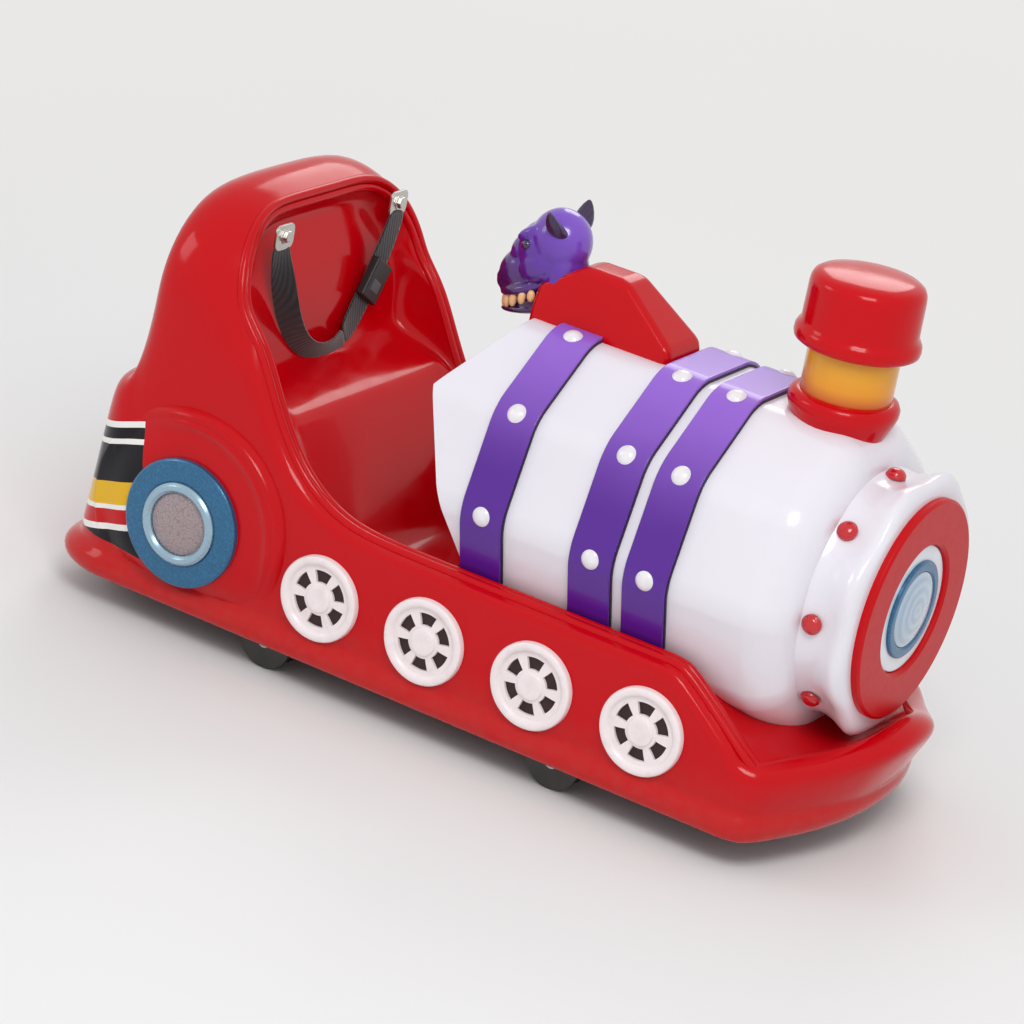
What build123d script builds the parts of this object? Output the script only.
from build123d import *
import os
from math import atan, cos, degrees, radians, sin, tan

# Toddler-size locomotive of a kiddie train ride. Millimetres, +X forward, +Y left, +Z up.
# The origin lies on the ground plane under the middle of the whole length, wheel bottoms at z = 0.
os.makedirs("parts", exist_ok=True)

# Body moulding
HALF_WIDTH = 245.0          # flat side panels
WALL = 7.0                  # moulded skin
SKIRT_Z = 42.0              # lower edge of the body
TAIL_X = -585.0
TAIL_LEAN = 39.0            # the tail leans forward by this much up to the trunk top
TRUNK_Z = 336.0             # trunk top behind the seat back
TRUNK_FRONT_X = -330.0
TRUNK_EDGE_R = 30.0
REAR_CORNER_R = 85.0
SIDE_TOP_Z = 238.0          # rolled top edge of the side panels
SIDE_EDGE_R = 12.0
NOSE_X = 642.0
NOSE_Z = 165.0              # height at which the nose reaches furthest
NOSE_UNDERCUT = 60.0        # the nose leans back by this much down to the skirt
NOSE_SIDE_X = 532.0         # where the sides turn in towards the nose
NOSE_HALF_WIDTH = 60.0
NOSE_CORNER_R = 50.0
NOSE_DECK_Z = 152.0
NOSE_LIP_Z = 188.0
NOSE_LIP_LENGTH = 66.0
DECK_Z = 215.0              # deck between the rolled edges, under the boiler
DECK_HALF_WIDTH = 211.0
DECK_END_X = 392.0          # the deck slopes down from here
DECK_LOW_X = 505.0
RIM_HEIGHT = 36.0           # rounded roll along the lower edge
RIM_PROUD = 10.0
RIM_TAIL = 14.0             # further bulge of the roll at the tail

# Seat back and the wings that run down from it to the side panels
BACK_TOP_Z = 617.0
BACK_SHOULDER_R = 148.0
BACK_REAR_X = -492.0
BACK_FRONT_X = -388.0
BACK_CORNER_R = 45.0
WING_FOOT_X = -104.0
# Front edge of the wings, from the seat back down: x, z, corner radius
WING_LINE = [(-355.0, 525.0, 70.0), (-300.0, 428.0, 90.0), (-250.0, 336.0, 90.0), (-190.0, 262.0, 90.0)]

# Seat and footwell
SEAT_HALF_WIDTH = 197.0
SEAT_BACK_X = -362.0
SEAT_BACK_BEND_Z = 545.0    # the back rest leans away above this
SEAT_REAR_Z = 366.0
SEAT_FRONT_X = -258.0
SEAT_FRONT_Z = 345.0
RISER_FOOT_X = -165.0
FLOOR_Z = 145.0
FOOTWELL_FRONT_X = 0.0

# Rear fenders and tail lamps
LAMP_X = -366.0
LAMP_Z = 174.0
FENDER_R = 160.0
FENDER_PROUD = 12.0
LAMP_R = 89.0
LAMP_DEPTH = 10.0
LAMP_RING_R = 57.0
LAMP_RING_DEPTH = 7.0
LAMP_LENS_R = 43.0
LAMP_LENS_DEPTH = 4.0
FIT_GAP = 0.3

# Wheel-shaped covers on the side panels
COVER_COUNT = 4
COVER_FIRST_X = -141.0
COVER_PITCH = 167.0
COVER_Z = 142.0
COVER_R = 60.0
COVER_SIDES = 24
COVER_DEPTH = 9.0
COVER_RIM = 13.0
COVER_FLOOR = 3.0
COVER_HUB_R = 18.0
COVER_HUB_SIDES = 12
COVER_SPOKES = 6
COVER_SPOKE_WIDTH = 12.0

# Boiler
BOILER_Z = 330.0
BOILER_SIDES = 10
BOILER_R = 226.0            # to the corners of the ten-sided section
BOILER_EDGE_R = 60.0        # soft corners
DASH_X = -66.0              # the rear end comes to a soft edge in front of the rider
DASH_Z = 460.0
DASH_EDGE_R = 16.0
DASH_TOP_X = 0.0
DASH_FOOT_X = 48.0
BARREL_X1 = 482.0
BOILER_FRONT_X = 505.0
BOILER_FRONT_R = 182.0

# Straps round the boiler: name, middle in x
STRAPS = [("rear", 66.0), ("middle", 232.0), ("front", 313.0)]
STRAP_WIDTH = 62.0
STRAP_THICK = 8.0
STUD_SIDES = 12
STUD_R = 16.5
STUD_HEIGHT = 9.0

# Boiler front with its lobed plate, ring and dial
VALLEY_R = 166.0            # neck between barrel and plate
VALLEY_LENGTH = 31.0
PLATE_R = 180.0
PLATE_FLARE = 24.0
PLATE_RIM_R = 158.0
PLATE_X = 577.0
RED_STUDS = 8
RED_STUD_R = 13.5
RED_STUD_HEIGHT = 8.0
RED_STUD_SETBACK = 16.0     # stud middle in front of the barrel
LOBE_CUT_R = 24.0
LOBE_CUT_DEPTH = 10.0
RING_R = 150.0
RING_INNER_R = 87.0
RING_DEPTH = 12.0
DIAL_PLATE_DEPTH = 6.0
DIAL_R = 66.0
DIAL_DEPTH = 5.0
DIAL_LENS_R = 52.0
DIAL_LENS_DEPTH = 3.0

# Chimney
CHIMNEY_X = 430.0
CHIMNEY_FLANGE_R = 72.0
CHIMNEY_FLANGE_TOP_Z = 576.0
CHIMNEY_NECK_R = 60.0
CHIMNEY_NECK_TOP_Z = 642.0
CHIMNEY_LIP_R = 83.0
CHIMNEY_LIP_HEIGHT = 20.0
CHIMNEY_CAP_R = 76.0
CHIMNEY_CAP_EDGE = 12.0
CHIMNEY_TOP_Z = 740.0

# Cowl on the boiler top
COWL_REAR_X = -20.0
COWL_FRONT_X = 198.0
COWL_TOP_Z = 629.0
COWL_RIDGE_X0 = 42.0
COWL_RIDGE_X1 = 105.0
COWL_RIDGE_HALF = 30.0
COWL_HALF_WIDTH = 50.0
COWL_EAVE_Z = 560.0
COWL_REAR_EAVE_Z = 590.0

# Figure head on the rear edge of the boiler: it looks down at the rider
HEAD_HALF_WIDTH = 42.0
# Side outline from the crown round the face to the nape: x, z, corner radius
HEAD_OUTLINE = [
    (-20.0, 690.0, 30.0), (-58.0, 674.0, 20.0), (-76.0, 642.0, 0.0), (-82.0, 608.0, 0.0),
    (-97.0, 584.0, 8.0), (-90.0, 556.0, 8.0), (-66.0, 536.0, 12.0), (-24.0, 520.0, 0.0),
    (30.0, 505.0, 0.0), (30.0, 650.0, 20.0), (12.0, 680.0, 20.0),
]
SNOUT_HALF_WIDTH = 24.0
MOUTH_X = -30.0
MOUTH_Z = 544.0
MOUTH_HEIGHT = 11.0
MOUTH_TILT = 14.0
EAR_BASE = 26.0
EAR_TIP = 8.0
EAR_LENGTH = 34.0
EAR_THICK = 12.0
EAR_X = -8.0
EAR_Z = 668.0
EAR_SPLAY = 55.0

# Running gear
AXLE_Z = 40.0
WHEELBASE = 460.0
WHEEL_R = 40.0
WHEEL_GROOVE_R = 29.0
WHEEL_GROOVE = 24.0
WHEEL_WIDTH = 40.0
WHEEL_SIDE_GAP = 18.0       # wheel to the inside of the body's side
SHAFT_R = 10.0
SHAFT_END = 3.0             # shaft past the wheel
RUNNING_GAP = 0.1

# Chassis
TUBE = 30.0
TUBE_WALL = 2.5
FRAME_Z = 62.0
WHEEL_FRAME_GAP = 45.0
MEMBER_REAR = 200.0         # rear cross member behind the rear axle
MEMBER_MIDDLE = 66.0        # middle cross member ahead of the rear axle
MEMBER_FRONT = 210.0        # front cross member ahead of the front axle
BEARER_LENGTH = 40.0
BEARING_LENGTH = 60.0
BEARING_CUT = 16.0
BEARING_FOOT = 12.0         # bearing block below the shaft
GEARBOX_LENGTH = 90.0
GEARBOX_WIDTH = 70.0
GEARBOX_BASE_Z = 12.0
GEARBOX_TOP_Z = 130.0
MOTOR_R = 38.0
MOTOR_LENGTH = 105.0
MOTOR_Z = 90.0
HITCH_THICK = 8.0
HITCH_HALF_WIDTH = 25.0
HITCH_PIN_R = 6.5
HITCH_Z = 22.0

# Seat belt
BELT_WIDTH = 38.0
BELT_THICK = 2.0
BELTS = [("right", -130.0), ("left", 152.0)]     # side, middle of the anchor in y
BELT_LOW_Y = 46.0
BELT_TOP_Z = 546.0
BELT_LOW_Z = 380.0
ANCHOR_HEIGHT = 34.0
ANCHOR_WIDTH = 40.0
ANCHOR_PROUD = 4.0
ANCHOR_SEAT = 24.0          # how far the anchor's foot reaches back to the leaning shell
BOLT_R = 8.0
BOLT_HEIGHT = 5.0
BUCKLE = (12.0, 44.0, 56.0)

HALF_GAUGE = HALF_WIDTH - WALL - WHEEL_SIDE_GAP - WHEEL_WIDTH / 2
FRAME_HALF = HALF_GAUGE - WHEEL_WIDTH / 2 - WHEEL_FRAME_GAP - TUBE / 2
BELOW = 10.0                # cutting forms reach this far past what they open
WIDE = HALF_WIDTH + 100.0
HIGH = CHIMNEY_TOP_Z + 100.0

SIDES = [("right", -1), ("left", 1)]
ON_BASE = (Align.CENTER, Align.CENTER, Align.MIN)


def save(name, shape):
    export_step(shape, f"parts/{name}.step")


def corner_face(corners):
    """Flat face from rows of (across, up, corner radius)."""
    face = make_face(Polyline(*[(u, v) for u, v, radius in corners], close=True))
    for u, v, radius in corners:
        if radius > 0:
            nearest = face.vertices().sort_by_distance((u, v, 0))[0]
            face = fillet(nearest, radius)
    return face


def side_prism(corners, half_width):
    """Block with an outline in the X-Z plane, as wide each side of the middle as asked."""
    return extrude(Plane.XZ * corner_face(corners), half_width, both=True)


def cross_prism(corners, x0, x1):
    """Block along X with an outline in the Y-Z plane."""
    plane = Plane(origin=(x0, 0, 0), x_dir=(0, 1, 0), z_dir=(1, 0, 0))
    return extrude(plane * corner_face(corners), x1 - x0)


def plan_prism(grow, z0, z1, tail_grow=0.0):
    """Upright block with the body's outline seen from above."""
    width = HALF_WIDTH + grow
    tail = TAIL_X - grow - tail_grow
    side = NOSE_SIDE_X + 0.5 * grow
    nose = NOSE_X + grow
    half = NOSE_HALF_WIDTH + 0.3 * grow
    rear_r = REAR_CORNER_R + grow
    nose_r = NOSE_CORNER_R + grow
    corners = [
        (tail, -width, rear_r), (side, -width, nose_r), (nose, -half, nose_r),
        (nose, half, nose_r), (side, width, nose_r), (tail, width, rear_r),
    ]
    return extrude(Pos(0, 0, z0) * corner_face(corners), z1 - z0)


def tub(inset):
    """Lower body: leaning tail and nose, trunk, rolled side edges and sloping front deck."""
    low = SKIRT_Z - (BELOW if inset else 0)
    trunk_z = TRUNK_Z - inset
    side_z = SIDE_TOP_Z - inset
    half = HALF_WIDTH - inset
    edge_r = TRUNK_EDGE_R - inset
    trunk = side_prism([
        (TAIL_X + inset, low, 0), (TAIL_X + TAIL_LEAN + inset, trunk_z, edge_r),
        (TRUNK_FRONT_X, trunk_z, 0), (TRUNK_FRONT_X, low, 0),
    ], WIDE)
    trunk &= cross_prism([(-half, low, 0), (-half, trunk_z, edge_r), (half, trunk_z, edge_r), (half, low, 0)],
                         TAIL_X - WALL, TRUNK_FRONT_X)
    front = side_prism([
        (TRUNK_FRONT_X - WALL, low, 0), (TRUNK_FRONT_X - WALL, side_z, 0),
        (DECK_END_X, side_z, 2 * SIDE_EDGE_R), (DECK_LOW_X, NOSE_DECK_Z - inset, 0),
        (NOSE_X - NOSE_LIP_LENGTH, NOSE_DECK_Z - inset, 0),
        (NOSE_X - NOSE_LIP_LENGTH / 2, NOSE_LIP_Z - inset, 0),
        (NOSE_X - inset, NOSE_LIP_Z - inset, SIDE_EDGE_R), (NOSE_X - inset, NOSE_Z, 0),
        (NOSE_X - NOSE_UNDERCUT - inset, low, 0),
    ], WIDE)
    side_r = SIDE_EDGE_R - inset
    front &= cross_prism([(-half, low, 0), (-half, side_z, side_r), (half, side_z, side_r), (half, low, 0)],
                         TRUNK_FRONT_X - WALL, NOSE_X)
    return plan_prism(-inset, low, TRUNK_Z + BELOW) & (trunk + front)


def seat_back(inset):
    """Tall seat back with round shoulders and its two wings."""
    half = HALF_WIDTH - inset
    top = BACK_TOP_Z - inset
    rear = BACK_REAR_X + inset
    shoulder = BACK_SHOULDER_R - inset
    corner = BACK_CORNER_R - inset
    arch = cross_prism([(-half, FLOOR_Z, 0), (-half, top, shoulder), (half, top, shoulder), (half, FLOOR_Z, 0)],
                       BACK_REAR_X, WING_FOOT_X)
    wings = [(x - inset, z - inset / 2, radius) for x, z, radius in WING_LINE]
    side_view = side_prism([
        (rear, FLOOR_Z, 0), (rear, top, 22), (BACK_FRONT_X - inset, top, 16), *wings,
        (WING_FOOT_X, SIDE_TOP_Z - inset - 1, 0), (WING_FOOT_X, FLOOR_Z, 0),
    ], WIDE)
    plan = corner_face([(rear, -half, corner), (WING_FOOT_X, -half, 0), (WING_FOOT_X, half, 0), (rear, half, corner)])
    return arch & side_view & extrude(plan, HIGH)


def fenders(inset):
    """Round bulges over the tail lamps, on both sides."""
    proud = FENDER_PROUD - inset
    radius = FENDER_R - (FENDER_PROUD + inset if inset else 0)
    disc = Cylinder(radius, 2 * (HALF_WIDTH + proud), rotation=(90, 0, 0))
    if not inset:
        disc = chamfer(disc.edges().filter_by(GeomType.CIRCLE), FENDER_PROUD - 2)
    low = SKIRT_Z - (BELOW if inset else 0)
    return Pos(LAMP_X, 0, LAMP_Z) * disc & plan_prism(proud, low, TRUNK_Z, -proud)


def seat_space(grow):
    """Room for the rider: seat, riser and footwell, open above."""
    top_x = BACK_FRONT_X - 12 - grow
    return side_prism([
        (top_x, BACK_TOP_Z - 14 + grow, 0), (SEAT_BACK_X - grow, SEAT_BACK_BEND_Z, 80),
        (SEAT_BACK_X - grow, SEAT_REAR_Z - grow, 20), (SEAT_FRONT_X - grow / 2, SEAT_FRONT_Z - grow, 35),
        (RISER_FOOT_X - grow, FLOOR_Z - grow, 25), (FOOTWELL_FRONT_X + grow, FLOOR_Z - grow, 20),
        (FOOTWELL_FRONT_X + grow, HIGH, 0), (top_x, HIGH, 0),
    ], SEAT_HALF_WIDTH + grow)


def deck_space(grow):
    """Recess of the deck between the rolled side edges."""
    start = FOOTWELL_FRONT_X - 2 * BELOW
    return side_prism([
        (start, DECK_Z - grow, 0), (DECK_END_X + 8, DECK_Z - grow, 0), (DECK_LOW_X, NOSE_DECK_Z - grow, 0),
        (DECK_LOW_X, HIGH, 0), (start, HIGH, 0),
    ], DECK_HALF_WIDTH + grow)


def lower_roll():
    """Rounded roll along the lower edge, deeper at the tail."""
    front = NOSE_X - NOSE_UNDERCUT + RIM_PROUD
    roll = plan_prism(RIM_PROUD, SKIRT_Z, SKIRT_Z + RIM_HEIGHT, RIM_TAIL)
    roll &= side_prism([
        (TAIL_X - WIDE, 0, 0), (TAIL_X - WIDE, SIDE_TOP_Z, 0), (front + 14, SIDE_TOP_Z, 0),
        (front, SKIRT_Z, 0), (front, 0, 0),
    ], WIDE + RIM_PROUD)
    levels = roll.edges().group_by(Axis.Z)
    return chamfer(levels[0] + levels[-1], RIM_PROUD - 1)


OUTSIDE = tub(0) + seat_back(0) + fenders(0) + lower_roll() - seat_space(0) - deck_space(0)
LINER_FORM = seat_space(WALL) + deck_space(WALL)
BODY = OUTSIDE - (tub(WALL) + seat_back(WALL) + fenders(WALL) - LINER_FORM)

# The skin is two mouldings that meet along the rolled edge: an outer hull and a liner in it
LINER = BODY & LINER_FORM
save("body_hull", BODY - LINER_FORM)
save("seat_liner", LINER)


def ten_sided(radius, edge_r):
    return fillet(RegularPolygon(radius, BOILER_SIDES, rotation=180 / BOILER_SIDES).vertices(), edge_r)


def along_boiler(face, x, length):
    """Block on the boiler's axis."""
    return extrude(Plane(origin=(x, 0, BOILER_Z), x_dir=(0, 1, 0), z_dir=(1, 0, 0)) * face, length)


def end_cuts(shoulder_x, end_x, end_radius):
    """Half spaces outside the ten flat facets that bring the barrel down to a smaller end."""
    half_turn = radians(180 / BOILER_SIDES)
    flat_r = BOILER_R * cos(half_turn)
    slope = (BOILER_R - end_radius) * cos(half_turn) / (end_x - shoulder_x)
    cuts = []
    for step in range(BOILER_SIDES):
        out_y = cos(2 * step * half_turn)
        out_z = sin(2 * step * half_turn)
        facet = Plane(origin=(shoulder_x, flat_r * out_y, BOILER_Z + flat_r * out_z), z_dir=(slope, out_y, out_z))
        cuts.append(facet * Box(2 * BOILER_R, 2 * BOILER_R, BOILER_R, align=ON_BASE))
    return cuts


BARREL = along_boiler(ten_sided(BOILER_R, BOILER_EDGE_R), DASH_X - WALL, BOILER_FRONT_X - DASH_X + WALL)
for cut in end_cuts(BARREL_X1, BOILER_FRONT_X, BOILER_FRONT_R):
    BARREL -= cut
ABOVE_DECK = side_prism([
    (DASH_X - WALL, DECK_Z, 0), (DECK_END_X + 8, DECK_Z, 0), (DECK_LOW_X, NOSE_DECK_Z, 0),
    (NOSE_X, NOSE_DECK_Z, 0), (NOSE_X, HIGH, 0), (DASH_X - WALL, HIGH, 0),
], WIDE)
# Seen from the side the rear end runs back from its foot to the dash edge, and forward again above it
dash_over = HIGH - DASH_Z
dash_slope = (DASH_TOP_X - DASH_X) / (BOILER_Z + BOILER_R - DASH_Z)
BOILER_FORM = side_prism([
    (DASH_FOOT_X, DECK_Z, 0), (DASH_X, DASH_Z, DASH_EDGE_R), (DASH_X + dash_over * dash_slope, HIGH, 0),
    (NOSE_X, HIGH, 0), (NOSE_X, NOSE_DECK_Z, 0), (DECK_LOW_X, NOSE_DECK_Z, 0), (DECK_END_X + 8, DECK_Z, 0),
], WIDE)
BOILER = BARREL & BOILER_FORM
save("boiler", BOILER)


def stud(radius, height, stem=0.0):
    """Round-headed stud with few faces, standing on z = 0; a stem reaches down to a curved seat."""
    head = extrude(RegularPolygon(radius, STUD_SIDES), height)
    head = chamfer(head.edges().group_by(Axis.Z)[-1], 0.6 * height)
    if stem:
        head += extrude(RegularPolygon(radius, STUD_SIDES), -stem)
    return head


STRAP_R = BOILER_R + STRAP_THICK
STRAP_SECTION = ten_sided(STRAP_R, BOILER_EDGE_R + STRAP_THICK)
STRAP_FLAT_R = STRAP_R * cos(radians(180 / BOILER_SIDES))
STRAP_BANDS = {}
for name, middle in STRAPS:
    STRAP_BANDS[name] = along_boiler(STRAP_SECTION, middle - STRAP_WIDTH / 2, STRAP_WIDTH)
    save(f"strap_{name}", (STRAP_BANDS[name] - BARREL) & ABOVE_DECK)
    studs = []
    for step in range(BOILER_SIDES // 2 + 1):
        angle = radians(step * 360 / BOILER_SIDES)
        foot = Plane(
            origin=(middle, -STRAP_FLAT_R * cos(angle), BOILER_Z + STRAP_FLAT_R * sin(angle)),
            x_dir=(1, 0, 0), z_dir=(0, -cos(angle), sin(angle)),
        )
        studs.append(foot * stud(STUD_R, STUD_HEIGHT))
    save(f"studs_{name}", Compound(children=studs))


def turned(rows):
    """Solid turned about the boiler's axis from rows of (x, radius)."""
    face = make_face(Polyline(*[(x, BOILER_Z + radius) for x, radius in rows], close=True))
    return revolve(Plane.XZ * face, axis=Axis((0, 0, BOILER_Z), (1, 0, 0)))


def disc(x, depth, radius, bore=0.0):
    return turned([(x, bore), (x, radius), (x + depth, radius), (x + depth, bore)])


# Lobed plate in front of the barrel, with a red stud in each hollow
valley_x1 = BOILER_FRONT_X + VALLEY_LENGTH
plate = turned([
    (BOILER_FRONT_X, 0), (BOILER_FRONT_X, VALLEY_R), (valley_x1, VALLEY_R),
    (valley_x1 + PLATE_FLARE, PLATE_R), (PLATE_X, PLATE_RIM_R), (PLATE_X, 0),
])
valley = disc(BARREL_X1, NOSE_X - BARREL_X1, VALLEY_R)
red_studs = []
for step in range(RED_STUDS):
    angle = radians(step * 360 / RED_STUDS)
    cut_r = PLATE_R + LOBE_CUT_R - LOBE_CUT_DEPTH
    cutter = Cylinder(LOBE_CUT_R, NOSE_X - BOILER_FRONT_X, rotation=(0, 90, 0))
    plate -= Pos(PLATE_X, cut_r * cos(angle), BOILER_Z + cut_r * sin(angle)) * cutter
    foot = Plane(
        origin=(BOILER_FRONT_X + RED_STUD_SETBACK, VALLEY_R * cos(angle), BOILER_Z + VALLEY_R * sin(angle)),
        x_dir=(1, 0, 0), z_dir=(0, cos(angle), sin(angle)),
    )
    if foot.origin.Z > NOSE_DECK_Z + 2 * RED_STUD_R:
        red_studs.append(foot * stud(RED_STUD_R, RED_STUD_HEIGHT, 3) - valley)
save("boiler_front", plate & ABOVE_DECK)
save("front_studs", Compound(children=red_studs))
save("front_ring", disc(PLATE_X, RING_DEPTH, RING_R, RING_INNER_R))
save("dial_plate", disc(PLATE_X, DIAL_PLATE_DEPTH, RING_INNER_R - FIT_GAP))
save("dial_ring", disc(PLATE_X + DIAL_PLATE_DEPTH, DIAL_DEPTH, DIAL_R))
save("dial_lens", disc(PLATE_X + DIAL_PLATE_DEPTH + DIAL_DEPTH, DIAL_LENS_DEPTH, DIAL_LENS_R))


def chimney_piece(radius, z0, z1):
    return Pos(CHIMNEY_X, 0, z0) * Cylinder(radius, z1 - z0, align=ON_BASE)


save("chimney_base", chimney_piece(CHIMNEY_FLANGE_R, BOILER_Z, CHIMNEY_FLANGE_TOP_Z) - BARREL)
save("chimney_neck", chimney_piece(CHIMNEY_NECK_R, CHIMNEY_FLANGE_TOP_Z, CHIMNEY_NECK_TOP_Z))
cap = chimney_piece(CHIMNEY_CAP_R, CHIMNEY_NECK_TOP_Z, CHIMNEY_TOP_Z)
cap = chamfer(cap.edges().group_by(Axis.Z)[-1], CHIMNEY_CAP_EDGE)
cap += chimney_piece(CHIMNEY_LIP_R, CHIMNEY_NECK_TOP_Z, CHIMNEY_NECK_TOP_Z + CHIMNEY_LIP_HEIGHT)
save("chimney_cap", cap)

# Cowl: a roof-shaped moulding with a ridge, seated on the barrel behind the middle strap
cowl = side_prism([
    (COWL_REAR_X, BOILER_Z, 0), (COWL_REAR_X, COWL_REAR_EAVE_Z, 15), (COWL_RIDGE_X0, COWL_TOP_Z, 15),
    (COWL_RIDGE_X1, COWL_TOP_Z, 20), (COWL_FRONT_X, COWL_EAVE_Z, 0), (COWL_FRONT_X, BOILER_Z, 0),
], COWL_HALF_WIDTH)
cowl &= cross_prism([
    (-COWL_HALF_WIDTH, BOILER_Z, 0), (-COWL_HALF_WIDTH, COWL_EAVE_Z, 0), (-COWL_RIDGE_HALF, COWL_TOP_Z, 0),
    (COWL_RIDGE_HALF, COWL_TOP_Z, 0), (COWL_HALF_WIDTH, COWL_EAVE_Z, 0), (COWL_HALF_WIDTH, BOILER_Z, 0),
], COWL_REAR_X, COWL_FRONT_X)
cowl = cowl - BARREL - STRAP_BANDS["rear"]
cowl = cowl.solids().sort_by(SortBy.VOLUME)[-1]
save("cowl", cowl)

# Figure head: three outlines cut from one block, an open mouth with teeth, and two ears
nose_x = min(x for x, z, radius in HEAD_OUTLINE)
nape_x = max(x for x, z, radius in HEAD_OUTLINE)
brow_x = (nose_x + MOUTH_X) / 2
head_form = side_prism(HEAD_OUTLINE, HEAD_HALF_WIDTH)
head_plan = corner_face([
    (nose_x - 1, -SNOUT_HALF_WIDTH, 12), (brow_x, -0.8 * HEAD_HALF_WIDTH, 0), (MOUTH_X, -HEAD_HALF_WIDTH, 20),
    (nape_x + 1, -0.85 * HEAD_HALF_WIDTH, 0), (nape_x + 1, 0.85 * HEAD_HALF_WIDTH, 0),
    (MOUTH_X, HEAD_HALF_WIDTH, 20), (brow_x, 0.8 * HEAD_HALF_WIDTH, 0), (nose_x - 1, SNOUT_HALF_WIDTH, 12),
])
head_form &= extrude(head_plan, HIGH)
crown_z = max(z for x, z, radius in HEAD_OUTLINE)
jaw_half = 0.62 * HEAD_HALF_WIDTH
head_form &= cross_prism([
    (-jaw_half, BOILER_Z, 0), (-jaw_half, MOUTH_Z, 0), (-HEAD_HALF_WIDTH, MOUTH_Z + HEAD_HALF_WIDTH, 20),
    (-HEAD_HALF_WIDTH, crown_z, 34), (HEAD_HALF_WIDTH, crown_z, 34),
    (HEAD_HALF_WIDTH, MOUTH_Z + HEAD_HALF_WIDTH, 20), (jaw_half, MOUTH_Z, 0), (jaw_half, BOILER_Z, 0),
], nose_x - 1, nape_x + 1)
head_form = head_form - BOILER - cowl
mouth_length = MOUTH_X - nose_x + BELOW
mouth = Pos(MOUTH_X, 0, MOUTH_Z) * Rot(0, MOUTH_TILT, 0)
mouth *= Box(mouth_length, 2 * HEAD_HALF_WIDTH, MOUTH_HEIGHT, align=(Align.MAX, Align.CENTER, Align.MIN))
head = (head_form - mouth).solids().sort_by(SortBy.VOLUME)[-1]
save("figure_head", head)
teeth = head_form & mouth
save("figure_teeth", teeth.solids().sort_by(SortBy.VOLUME)[-1])
ears = []
ear_face = corner_face([
    (-EAR_BASE / 2, -EAR_BASE / 2, 0), (EAR_BASE / 2, -EAR_BASE / 2, 0),
    (EAR_TIP / 2, EAR_LENGTH, 0), (-EAR_TIP / 2, EAR_LENGTH, 0),
])
for side_name, side in SIDES:
    ear = extrude(Plane.XZ * ear_face, EAR_THICK / 2, both=True)
    ear = Pos(EAR_X, side * 0.7 * HEAD_HALF_WIDTH, EAR_Z) * Rot(-side * EAR_SPLAY, 0, 0) * ear - head
    ears.append(ear.solids().sort_by(SortBy.VOLUME)[-1])
save("figure_ears", Compound(children=ears))


def ring_block(radius, sides, depth, bore=0.0):
    """Many-sided disc standing on z = 0, with or without a hole."""
    face = RegularPolygon(radius, sides)
    if bore:
        face -= RegularPolygon(bore, sides)
    return extrude(face, depth)


def wheel_cover():
    """Wheel-shaped cover: raised rim and hub, sunk face with six windows between spokes."""
    inner_r = COVER_R - COVER_RIM
    cover = ring_block(COVER_R, COVER_SIDES, COVER_DEPTH, inner_r)
    cover += ring_block(inner_r, COVER_SIDES, COVER_FLOOR)
    cover += ring_block(COVER_HUB_R, COVER_HUB_SIDES, COVER_DEPTH - 1)
    half_angle = radians(180 / COVER_SPOKES)
    foot = COVER_HUB_R + COVER_SPOKE_WIDTH / 2
    tip = inner_r - COVER_SPOKE_WIDTH / 3
    foot_half = foot * tan(half_angle) - COVER_SPOKE_WIDTH / 2
    tip_half = tip * sin(half_angle) - COVER_SPOKE_WIDTH / 2
    window = extrude(corner_face([
        (foot, -foot_half, 0), (tip * cos(half_angle), -tip_half, 0), (tip, 0, 0),
        (tip * cos(half_angle), tip_half, 0), (foot, foot_half, 0),
    ]), COVER_DEPTH)
    for step in range(COVER_SPOKES):
        cover -= Rot(0, 0, (step + 0.5) * 360 / COVER_SPOKES) * window
    return cover


def on_side(x, z, side, y=HALF_WIDTH):
    """Plane on the outside of a side panel, facing outwards."""
    return Plane(origin=(x, side * y, z), x_dir=(1, 0, 0), z_dir=(0, side, 0))


COVER = wheel_cover()
for side_name, side in SIDES:
    places = [COVER_FIRST_X + index * COVER_PITCH for index in range(COVER_COUNT)]
    save(f"wheel_covers_{side_name}", Compound(children=[on_side(x, COVER_Z, side) * COVER for x in places]))

# Tail lamps: a bezel on each fender, with a bright ring and a lens on it
bezel = Cylinder(LAMP_R, LAMP_DEPTH, align=ON_BASE)
lamp_ring = Pos(0, 0, LAMP_DEPTH) * Cylinder(LAMP_RING_R, LAMP_RING_DEPTH, align=ON_BASE)
lamp_ring -= Cylinder(LAMP_LENS_R, 3 * LAMP_DEPTH, align=ON_BASE)
lamp_lens = Pos(0, 0, LAMP_DEPTH) * Cylinder(LAMP_LENS_R - FIT_GAP, LAMP_LENS_DEPTH, align=ON_BASE)
for name, piece in (("lamp_bezels", bezel), ("lamp_rings", lamp_ring), ("lamp_lenses", lamp_lens)):
    pair = [on_side(LAMP_X, LAMP_Z, side, HALF_WIDTH + FENDER_PROUD) * piece for side_name, side in SIDES]
    save(name, Compound(children=pair))

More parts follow.
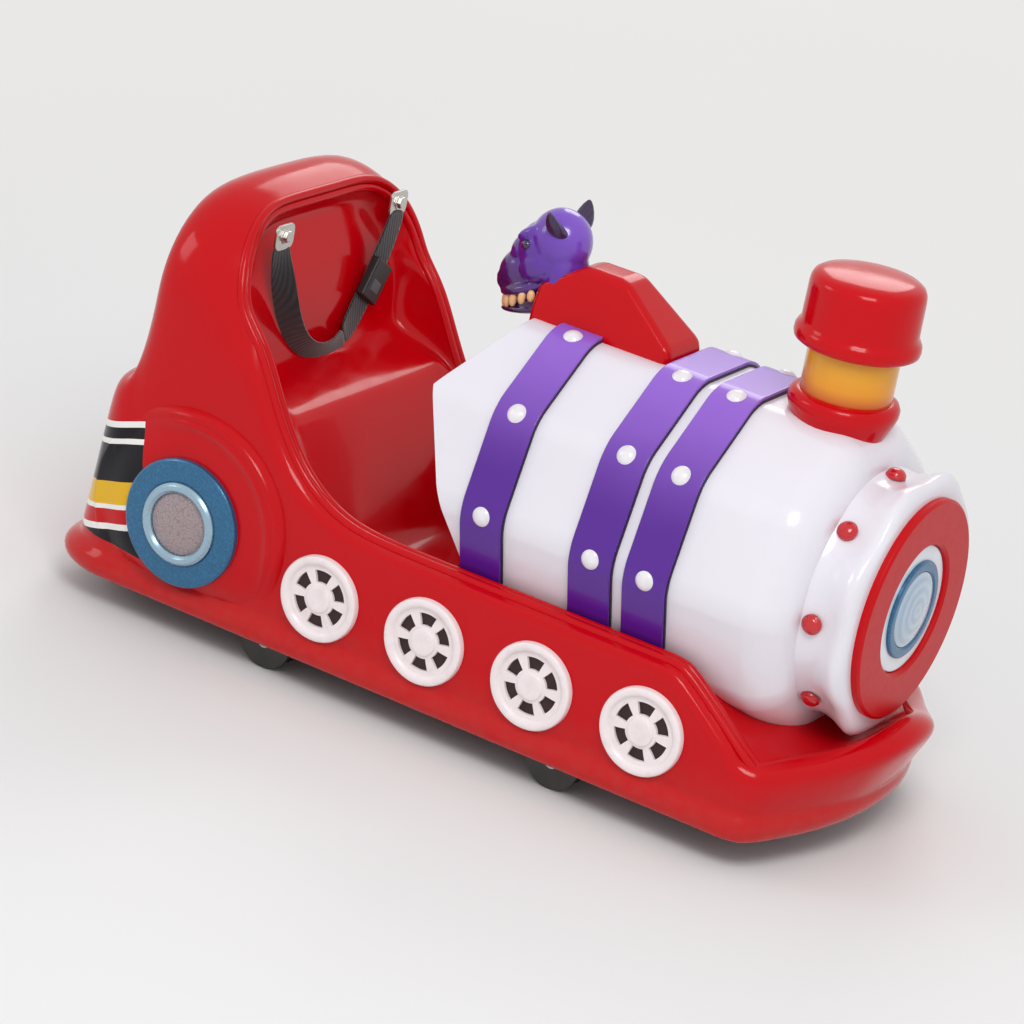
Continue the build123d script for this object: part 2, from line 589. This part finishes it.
# Seat belt: an anchor plate with its bolt on each side, webbing in a V and a buckle
belt_x = SEAT_BACK_X + FIT_GAP
webbing = {}
for side_name, anchor_y in BELTS:
    straight = cross_prism([
        (anchor_y - BELT_WIDTH / 2, BELT_TOP_Z, 0), (anchor_y + BELT_WIDTH / 2, BELT_TOP_Z, 0),
        (BELT_LOW_Y + BELT_WIDTH / 2, BELT_LOW_Z, 0), (BELT_LOW_Y - BELT_WIDTH / 2, BELT_LOW_Z, 0),
    ], belt_x, belt_x + BELT_THICK)
    webbing[side_name] = straight
    face = Plane(origin=(belt_x, anchor_y, BELT_TOP_Z), x_dir=(0, 1, 0), z_dir=(1, 0, 0))
    middle = Pos(0, ANCHOR_HEIGHT / 2)
    anchor = extrude(middle * Rectangle(ANCHOR_WIDTH, ANCHOR_HEIGHT), ANCHOR_PROUD)
    anchor += extrude(middle * Rectangle(ANCHOR_WIDTH, ANCHOR_HEIGHT), -ANCHOR_SEAT)
    anchor += Pos(0, ANCHOR_HEIGHT / 2, ANCHOR_PROUD) * extrude(RegularPolygon(BOLT_R, 6), BOLT_HEIGHT)
    anchor = face * anchor - BODY
    save(f"belt_anchor_{side_name}", anchor.solids().sort_by(Axis.X)[-1])
save("belt_left", webbing["left"])
save("belt_right", webbing["right"] - webbing["left"])
buckle = Box(*BUCKLE, align=(Align.MIN, Align.CENTER, Align.CENTER))
buckle = chamfer(buckle.edges().group_by(Axis.X)[-1], 4)
left_y = BELTS[1][1]
buckle_lean = degrees(atan((left_y - BELT_LOW_Y) / (BELT_TOP_Z - BELT_LOW_Z)))
buckle_place = Pos(belt_x + BELT_THICK, (left_y + BELT_LOW_Y) / 2, (BELT_TOP_Z + BELT_LOW_Z) / 2)
save("belt_buckle", buckle_place * Rot(-buckle_lean, 0, 0) * buckle)

# Running gear: each axle with its two grooved wheels is one moving piece
wheel_face = corner_face([
    (SHAFT_R + RUNNING_GAP, -WHEEL_WIDTH / 2, 0), (WHEEL_R, -WHEEL_WIDTH / 2, 0), (WHEEL_R, -WHEEL_GROOVE / 2, 0),
    (WHEEL_GROOVE_R, -WHEEL_GROOVE / 2, 0), (WHEEL_GROOVE_R, WHEEL_GROOVE / 2, 0),
    (WHEEL_R, WHEEL_GROOVE / 2, 0), (WHEEL_R, WHEEL_WIDTH / 2, 0), (SHAFT_R + RUNNING_GAP, WHEEL_WIDTH / 2, 0),
])
wheel = revolve(wheel_face, axis=Axis.Y)
shaft_length = 2 * HALF_GAUGE + WHEEL_WIDTH + 2 * SHAFT_END
front_x = WHEELBASE / 2
rear_x = -WHEELBASE / 2
for axle_name, x in (("front", front_x), ("rear", rear_x)):
    save(f"{axle_name}_axle", Pos(x, 0, AXLE_Z) * Cylinder(SHAFT_R, shaft_length, rotation=(90, 0, 0)))
    wheels = [Pos(x, side * HALF_GAUGE, AXLE_Z) * wheel for side_name, side in SIDES]
    save(f"{axle_name}_wheels", Compound(children=wheels))
    bore = Pos(x, 0, AXLE_Z) * Cylinder(SHAFT_R + RUNNING_GAP, shaft_length, rotation=(90, 0, 0))
    blocks = []
    for side_name, side in SIDES:
        height = FRAME_Z - AXLE_Z + SHAFT_R + BEARING_FOOT
        block = Box(BEARING_LENGTH, TUBE, height, align=(Align.CENTER, Align.CENTER, Align.MAX))
        block = chamfer(block.edges().filter_by(Axis.Y).group_by(Axis.Z)[0], BEARING_CUT)
        blocks.append(Pos(x, side * FRAME_HALF, FRAME_Z) * block - bore)
    save(f"{axle_name}_bearings", Compound(children=blocks))

# Chassis: two long square tubes, three cross members that reach the body's sides, a floor bearer
frame_x0 = rear_x - MEMBER_REAR - TUBE / 2
frame_x1 = front_x + MEMBER_FRONT + TUBE / 2
frame_top = FRAME_Z + TUBE


def square_tube(x, y, length, width, grow):
    """Box along X or Y at the frame's height, or its bore when grow is negative."""
    height = TUBE + 2 * grow
    return Pos(x, y, FRAME_Z - grow) * Box(length, width, height, align=ON_BASE)


rails = None
rail_bores = None
for side_name, side in SIDES:
    rail = square_tube((frame_x0 + frame_x1) / 2, side * FRAME_HALF, frame_x1 - frame_x0, TUBE, 0)
    rail_bore = square_tube((frame_x0 + frame_x1) / 2, side * FRAME_HALF, frame_x1 - frame_x0, TUBE - 2 * TUBE_WALL,
                            -TUBE_WALL)
    rails = rail if rails is None else rails + rail
    rail_bores = rail_bore if rail_bores is None else rail_bores + rail_bore
frame = rails - rail_bores
member_width = 2 * (HALF_WIDTH - WALL)
for x in (rear_x - MEMBER_REAR, rear_x + MEMBER_MIDDLE, front_x + MEMBER_FRONT):
    member = square_tube(x, 0, TUBE, member_width, 0)
    member -= square_tube(x, 0, TUBE - 2 * TUBE_WALL, member_width, -TUBE_WALL)
    frame += member - rails
bearer_x = RISER_FOOT_X + BEARER_LENGTH
bearer_height = FLOOR_Z - WALL - frame_top
bearer = Pos(bearer_x, 0, frame_top) * Box(BEARER_LENGTH, 2 * FRAME_HALF + TUBE, bearer_height, align=ON_BASE)
frame += bearer
save("chassis_frame", frame)

# Gearbox on the rear axle with its motor behind it
gearbox_height = GEARBOX_TOP_Z - GEARBOX_BASE_Z
gearbox = Pos(rear_x, 0, GEARBOX_BASE_Z) * Box(GEARBOX_LENGTH, GEARBOX_WIDTH, gearbox_height, align=ON_BASE)
gearbox -= Pos(rear_x, 0, AXLE_Z) * Cylinder(SHAFT_R + RUNNING_GAP, 2 * GEARBOX_WIDTH, rotation=(90, 0, 0))
motor_x = rear_x - GEARBOX_LENGTH / 2
motor = Pos(motor_x, 0, MOTOR_Z) * Cylinder(MOTOR_R, MOTOR_LENGTH, rotation=(0, -90, 0), align=ON_BASE)
save("gearmotor", gearbox + motor)

# Hitch: a plate on the rear cross member and a tongue with a pin hole, for the next car
plate_align = (Align.MAX, Align.CENTER, Align.MIN)
tongue_x = -NOSE_X + HITCH_HALF_WIDTH
hitch = Pos(frame_x0, 0, HITCH_Z) * Box(HITCH_THICK, 2 * HITCH_HALF_WIDTH, frame_top - HITCH_Z, align=plate_align)
hitch += Pos(frame_x0, 0, HITCH_Z) * Box(frame_x0 - tongue_x, 2 * HITCH_HALF_WIDTH, HITCH_THICK, align=plate_align)
hitch += Pos(tongue_x, 0, HITCH_Z) * Cylinder(HITCH_HALF_WIDTH, HITCH_THICK, align=ON_BASE)
hitch -= Pos(tongue_x, 0, HITCH_Z) * Cylinder(HITCH_PIN_R, 3 * HITCH_THICK)
save("rear_hitch", hitch)
